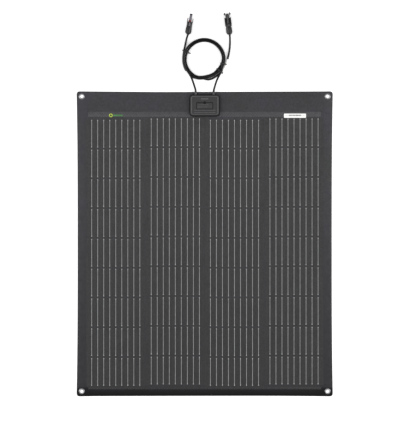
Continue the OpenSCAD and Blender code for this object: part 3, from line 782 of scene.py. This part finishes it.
def make_box(paints):
    """The tray; near-black adhesive round its foot and under the glands, which also paints the shadow there; the
    lid with its relief; and the two glands.
    """
    tray = bmesh.new()
    floor = box_mm("terminal_rails")[0].z
    low, high = TRAY_Z
    loft(tray, box_rings([(1.2, low), (0, low), (0, low + 0.6), (0.2, high - 0.5), (0.6, high),
                          (BOX_WALL - 0.4, high), (BOX_WALL, high - 0.4), (BOX_WALL, floor)]))
    finish("tray", tray, "box", ["box_tray"], paints["box"])
    # a near-black bead round the tray's foot and pads under the glands: adhesive, and painted shadow on the sheet
    # around the box
    bead = bmesh.new()
    under = low - BEAD_DROP
    loft(bead, box_rings([(1.5, low + 1.4), (-0.4, low + 1.2), (-1.6, low + 0.4), (-2.2, under),
                          (1.5, under)]), caps=False)
    for x in (-GLAND_X, GLAND_X):
        pillow(bead, (x, GLAND_PAD_Y), (13, 8), 2, (under, low + 0.6), 0.4)
    finish("adhesive_bead_and_painted_shadow", bead, "pad", None, paints["pad"])
    lid = bmesh.new()
    rings = box_rings([(1.2, LID_Z), (0, LID_Z + 0.1), (0, 16), (0.4, 16.4), (3, 17.6), (3.5, LID_TOP),
                       (4.9, LID_TOP), (5.6, 17.7), (6, LID_PLATE)])
    rings += box_rings([(-0.8, LID_PLATE), (0, LID_PLATE - 0.1), (0.15, GROOVE_FLOOR),
                        (GROOVE_W - 0.15, GROOVE_FLOOR), (GROOVE_W, LID_PLATE - 0.1),
                        (GROOVE_W + 0.3, LID_PLATE)], FIELD_AT, FIELD_SIZE, FIELD_R)
    faces = loft(lid, rings)
    around = len(rings[0])
    for first, last, material in LID_LOOKS:
        for face in faces[first * around:last * around]:
            face.material_index = material
    # the ribs, the tab and the bars are in the paler plastic: painted highlight
    for y in LID_RIBS:
        pillow(lid, (0, y), LID_RIB_SIZE, 1, (RELIEF_Z, LID_TOP), 0.5, material=2)
    pillow(lid, LID_TAB_AT, LID_TAB_SIZE, 1.4, (RELIEF_Z, LID_PLATE + 0.5), 0.4, material=2)
    for x, y, width in LID_BARS:
        pillow(lid, (x, y), (width, 2), 0.8, (RELIEF_Z, LID_PLATE + 0.4), 0.3, material=2)
    # a flat dark rubber disc where the lid has a round notch: painted shade
    lathe(lid, [(LID_DISC_R, RELIEF_Z), (LID_DISC_R, LID_PLATE + 0.05),
                (LID_DISC_R - 0.3, LID_PLATE + 0.12), (0.01, LID_PLATE + 0.12)],
          Matrix.Translation(LID_DISC_AT), material=1)
    finish("lid", lid, "box", ["box_lid"], paints["box"], paints["gasket"], paints["box_painted_highlight"],
           paints["gland"], body="lid")
    glands = bmesh.new()
    for x in (-GLAND_X, GLAND_X):
        place = Matrix.Translation((x, GLAND_Y, GLAND_Z)) @ UPRIGHT
        lathe(glands, [(4.6, 0), (4.6, 3.4), (5.2, 3.6), (5.4, 4), (5.4, 5), (5, 5.5), (4, 5.6)], place)
        # the sleeve at the cable's exit is in the paler box plastic: painted highlight
        lathe(glands, [(4, 5.6), (3.9, 8.6), (3.6, 8.8), (3.75, 9.2), (3.75, 9.9), (3.4, 10.1),
                       (3.5, 10.5), (3.5, 11.2), (ENTRY_R, 12.2)], place, material=1)
    finish("glands", glands, "gland", ["cable_glands"], paints["gland"], paints["box_painted_highlight"])


# ---- Eyelets, label and mark ----

LABEL_TRIM = 2                  # how much shorter the label is than its CAD node
LABEL_BARS = 15
LABEL_BARS_X = -19              # from the label's middle
MARK_AT = (-290, 397, 0)
WORD_AT = (-268, 397)           # a plain bar, where the real sheet has a word
WORD_SIZE = (30, 5)


def make_eyelets(paints):
    """Two rolled metal eyelets at each end of the sheet."""
    for node, body in (("grommets_top", "root"), ("grommets_bottom", BODIES[-1])):
        low, high = box_mm(node)
        bm = bmesh.new()
        for x in (low.x + EYELET_FLANGE, high.x - EYELET_FLANGE):
            place = Matrix.Translation((x, (low.y + high.y) / 2, 0))
            lathe(bm, [(9, 0.05), (9, 0.5), (5.7, 0.6), (5.7, 2.2), (8.2, 2.35), (8.6, 2.5), (8.6, 2.75),
                       (8.2, 3.05), (7.4, 3.2), (6.2, 3.2), (5.4, 2.95), (5, 2.4), (5, 0.5), (5.6, 0.1),
                       (9, 0.05)], place, 64)
        finish(f"{node}_metal", bm, "eyelet", [node], paints["eyelet"], body=body)


def make_label(paints):
    """The white label with plain grey bars, and the green mark: a ring, its centre and a bar."""
    low, high = box_mm("serial_label")
    middle = (low + high) / 2
    bm = bmesh.new()
    size = (high.x - low.x, high.y - low.y - LABEL_TRIM)
    pillow(bm, (middle.x, middle.y + LABEL_TRIM / 2), size, 1.5, (UNDER_FACE, FACE_Z + 0.45), 0.12)
    ink = (FACE_Z + 0.4, FACE_Z + 0.5)
    along = middle.x + LABEL_BARS_X
    for i in range(LABEL_BARS):
        width = 0.8 + 0.6 * (i * 7 % 4)
        pillow(bm, (along + width / 2, middle.y + 2), (width, 4.6), 0.1, ink, 0.03, material=1)
        along += width + 0.85
    pillow(bm, (middle.x, middle.y + 1.8), (size[0] - 8, 0.6), 0.1, ink, 0.03, material=1)
    finish("label", bm, "label", ["serial_label"], paints["label"], paints["print"])
    mark = bmesh.new()
    disc = Matrix.Translation(MARK_AT)
    lathe(mark, [(5.4, FACE_Z), (5.4, FACE_Z + 0.26), (5.1, FACE_Z + 0.32), (3.4, FACE_Z + 0.32),
                 (3.2, FACE_Z)], disc)
    lathe(mark, [(3.5, FACE_Z + 0.18), (0.01, FACE_Z + 0.2)], disc, material=2)
    pillow(mark, WORD_AT, WORD_SIZE, 2, (UNDER_FACE, FACE_Z + 0.28), 0.08, material=1)
    finish("green_mark", mark, "label", None, paints["green"], paints["dark_green"],
           paints["green_centre"])


# ---- Laminate ----

LOWER_MARGIN = -447             # below this the film has less gloss
CORNER_R = 9
BOW = 3.4                       # how far the long sides curve inwards
END_BOW = 2.2                   # and the ends
FILM_INSET = 1.4                # from the back sheet's edge to the film's
SOFT_EDGE = 0.35
FACES_ACROSS = 24
END_SLICES = (0, 0.4, 1.3, 2.8, 5, 8.5)     # distances from an end, to round its corners
COLUMNS = 4
COLUMN_PITCH = 184
LEFT_DRIFT = 1.2                # how far the two left columns lie to the right
CELL_W = 182
CELL_SHIFT = -1.6               # the cells lie a little below the steps in the sheet's strips
CELL_RISE = 0.16
STAGGER = 4.3                   # how much higher every second column is
ROW_PITCH = 92
ROW_GAP = 1.5
RIBBONS = 9
RIBBON_PITCH = 18.6
RIBBON_W = 1.1
RIBBON_RISE = 0.14
RIBBON_INSET = 2.6              # from a ribbon's end to its cell's edge
PAD_W, PAD_L = 2.3, 3.2         # the solder pad at a ribbon's end
EYELET_HOLE = 5.75
SLICE = 9.2                     # length of one slice of the sheet
UPPER_BAND = (392.6, 408)
LOWER_BAND = (-449.6, -441.2)


def column_x(c):
    """Middle of a column of cells."""
    return (c - (COLUMNS - 1) / 2) * COLUMN_PITCH + (LEFT_DRIFT if c < 2 else 0)


def row_end(k):
    """Lower end of the row of cells numbered k from 1, in an unraised column."""
    return BENDS[0] - STAGGER / 2 + CELL_SHIFT - ROW_PITCH * (k - 1)


def stretches():
    """(number, top, low) of each stretch of the sheet, from the middle of a row to the next middle."""
    tops = [HALF_L] + [b + ROW_PITCH / 2 for b in BENDS] + [BENDS[-1] - ROW_PITCH / 2, -HALF_L]
    return list(enumerate(zip(tops, tops[1:]), start=1))


def slices(top, low):
    count = max(1, round((top - low) / SLICE))
    return [top + (low - top) * i / count for i in range(count + 1)]


def bend(piece, number):
    """Attaches a piece at either end of the sheet to its body; a piece in between keeps its place, with its
    transform applied.
    """
    if number == 1:
        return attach(piece, BODIES[0])
    if number == len(BENDS) + 2:
        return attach(piece, BODIES[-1])
    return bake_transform(piece)


def half_width(y, inset):
    """Half the sheet's width at y, with its rounded corners."""
    from_end = HALF_L - inset - abs(y)
    radius = CORNER_R - inset
    if from_end >= radius:
        return HALF_W - inset
    return HALF_W - inset - radius + math.sqrt(max(radius ** 2 - (radius - from_end) ** 2, 0))


def bowed(x, y):
    """Moves a point of the outline inwards between the corners."""
    sideways = BOW * (abs(x) / HALF_W) ** 8 * (1 - (abs(y) / HALF_L) ** 3)
    endways = END_BOW * (abs(y) / HALF_L) ** 12 * (1 - (abs(x) / HALF_W) ** 3)
    return x - math.copysign(sideways, x), y - math.copysign(endways, y)


def slab(name, number, top, low, z, inset, *paints):
    """One stretch of one layer, with rounded edges; z is (bottom, top). Its paints are the face's,
    the edge's and, where it has one, the lower margin's."""
    top, low = min(top, HALF_L - inset), max(low, -HALF_L + inset)
    ys = slices(top, low)
    if number == 1:
        ys = [top - d for d in END_SLICES] + [y for y in ys if y < top - 10]
    if number == len(BENDS) + 2:
        ys = [y for y in ys if y > low + 10] + [low + d for d in reversed(END_SLICES)]
    soft = SOFT_EDGE
    across = [i / FACES_ACROSS for i in range(FACES_ACROSS + 1)]
    bm = bmesh.new()
    rings = []
    for y in ys:
        w = half_width(y, inset)
        upper = [(-w, z[1] - soft), (-w + 0.12, z[1] - 0.1), (-w + soft, z[1])]
        upper += [(-w + soft + 2 * (w - soft) * t, z[1]) for t in across[1:-1]]
        upper += [(w - soft, z[1]), (w - 0.12, z[1] - 0.1), (w, z[1] - soft)]
        ring = upper + [(x, z[0]) for x, _ in reversed(upper)]
        rings.append([(*bowed(x, y), h) for x, h in ring])
    faces = loft(bm, rings)
    for part in faces:
        part.normal_update()
        middle = part.calc_center_median()
        shown = abs(part.normal.z) > 0.9 and middle.z > z[1] - 0.1
        part.material_index = 0 if shown else 1
        if shown and len(paints) > 2 and middle.y < LOWER_MARGIN:
            part.material_index = 2
    piece = as_object(name, bm, *paints)
    if number in (1, len(BENDS) + 2):
        punch(piece, box_mm("grommets_top" if number == 1 else "grommets_bottom"))
    return bend(piece, number)


def punch(piece, eyelets):
    """Cuts the two eyelet holes."""
    low, high = eyelets
    bm = bmesh.new()
    for x in (low.x + EYELET_FLANGE, high.x - EYELET_FLANGE):
        at = Matrix.Translation((x, (low.y + high.y) / 2, 1))
        bmesh.ops.create_cone(bm, cap_ends=True, segments=48, radius1=EYELET_HOLE, radius2=EYELET_HOLE,
                              depth=12, matrix=at)
    cutter = as_object("cutter", bm)
    cut = piece.modifiers.new("cut", "BOOLEAN")
    cut.object = cutter
    cut.solver = "EXACT"
    solid = bpy.data.meshes.new_from_object(
        piece.evaluated_get(bpy.context.evaluated_depsgraph_get()))
    piece.modifiers.clear()
    piece.data = solid
    solid.name = piece.name
    keep_place(solid)
    smooth_over(solid)
    bpy.data.objects.remove(cutter)


def strip(bm, x, ys, z, slope, side_material=None):
    """A low bar along the sheet: x is (left, right), z is (bottom, top), slope its sides' width."""
    rings = [[(x[0], y, z[0]), (x[0] + slope, y, z[1]), (x[1] - slope, y, z[1]), (x[1], y, z[0])]
             for y in ys]
    faces = loft(bm, rings)
    if side_material is not None:
        for face in faces:
            face.normal_update()
            if abs(face.normal.z) < 0.9 or face.calc_center_median().z < z[1] - 0.01:
                face.material_index = side_material


def cell_spans(number, top, low):
    """(column, upper end, lower end, upper is an end, lower is an end) of the cells in a stretch."""
    found = []
    for c in range(COLUMNS):
        up = STAGGER if c % 2 else 0
        for row in (number - 1, number):
            if not 1 <= row <= len(BENDS) + 1:
                continue
            cell_top = row_end(row) + ROW_PITCH + up - ROW_GAP / 2
            cell_low = row_end(row) + up + ROW_GAP / 2
            a, b = min(cell_top, top), max(cell_low, low)
            if a > b + 1:
                found.append((c, a, b, a == cell_top, b == cell_low))
    return found


def make_cells(number, top, low, paints):
    """The raised cells of a stretch and the tinned ribbons along them."""
    plates, ribbons = bmesh.new(), bmesh.new()
    z_cell = FACE_Z + CELL_RISE
    z_ribbon = z_cell + RIBBON_RISE
    for c, a, b, a_end, b_end in cell_spans(number, top, low):
        x = column_x(c)
        strip(plates, (x - CELL_W / 2, x + CELL_W / 2), slices(a, b), (UNDER_FACE, z_cell), 0.3,
              side_material=1)
        start, stop = a - RIBBON_INSET * a_end, b + RIBBON_INSET * b_end
        for i in range(RIBBONS):
            at = x + (i - (RIBBONS - 1) / 2) * RIBBON_PITCH
            half = RIBBON_W / 2
            strip(ribbons, (at - half, at + half), slices(start, stop), (z_cell - 0.08, z_ribbon), 0.12)
            for end, sign in ((start, -1), (stop, 1)):
                if (a_end if sign < 0 else b_end):
                    half = PAD_W / 2
                    strip(ribbons, (at - half, at + half), sorted((end, end + sign * PAD_L)),
                          (z_cell - 0.08, z_ribbon + 0.05), 0.25)
    plate = as_object(f"cells_{number}", plates, paints["cell"], paints["cell_edge"])
    line = as_object(f"ribbons_{number}", ribbons, paints["ribbon"])
    for piece, slot in ((plate, "solar_cell"), (line, "ribbon")):
        bend(piece, number)
    return plate


def make_sheet(paints):
    for number, (top, low) in stretches():
        back = slab(f"backing_{number}", number, top, low, (0, BACK_T), 0, paints["backing"],
                    paints["film_edge"])
        film_paints = [paints["laminate"], paints["film_edge"]]
        if number == len(BENDS) + 2:
            film_paints.append(paints["laminate_low"])
        film = slab(f"laminate_{number}", number, top, low, (BACK_T, FACE_Z), FILM_INSET,
                    *film_paints)
        cells = make_cells(number, top, low, paints)
        if number <= len(BENDS) + 1:
            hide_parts(f"back_sheet_{number}")
            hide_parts(f"front_film_{number}")
            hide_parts(f"cell_row_{number}")


def make_bus(paints):
    """The cross ribbons above and below the cells, felt through the film as low textured bands."""
    bands = {
        "bus_ribbons": ("root", UPPER_BAND, "upper_band"),
        "bus_ribbons_bottom": (BODIES[-1], LOWER_BAND, "lower_band_painted_shade"),
    }
    for node, (body, (bottom, top), paint) in bands.items():
        low, high = box_mm(node)
        bm = bmesh.new()
        pillow(bm, (0, (bottom + top) / 2), (high.x - low.x, top - bottom), 1.2,
               (UNDER_FACE, FACE_Z + 0.14), 0.1)
        finish(f"{node}_relief", bm, "front_film", [node], paints[paint], body=body)


# ---- CAD nodes that stay, each with the material of its slot ----

SLOT_PAINT = {
    "eyelet": "eyelet", "label": "label", "pad": "pad", "box": "box", "gasket": "gasket",
    "copper": "copper", "diode": "diode", "tinned_metal": "tinned", "gland": "gland",
    "tie": "tie", "connector": "connector", "red_seal": "red", "ribbon": "tinned",
    "back_sheet": "backing", "front_film": "laminate", "solar_cell": "cell", "cable": "cable",
}


def dress_nodes(paints):
    for part in frame["record"]["subparts"]:
        mesh = nodes[part["node"]].data
        mesh.materials.clear()
        mesh.materials.append(paints[SLOT_PAINT[part["material_slot"]]])


def main():
    make_camera()
    make_studio()
    make_floor()
    paints = make_paints()
    dress_nodes(paints)
    make_connectors(paints)
    make_cords(paints)
    make_box(paints)
    make_eyelets(paints)
    make_label(paints)
    make_sheet(paints)
    make_bus(paints)


main()
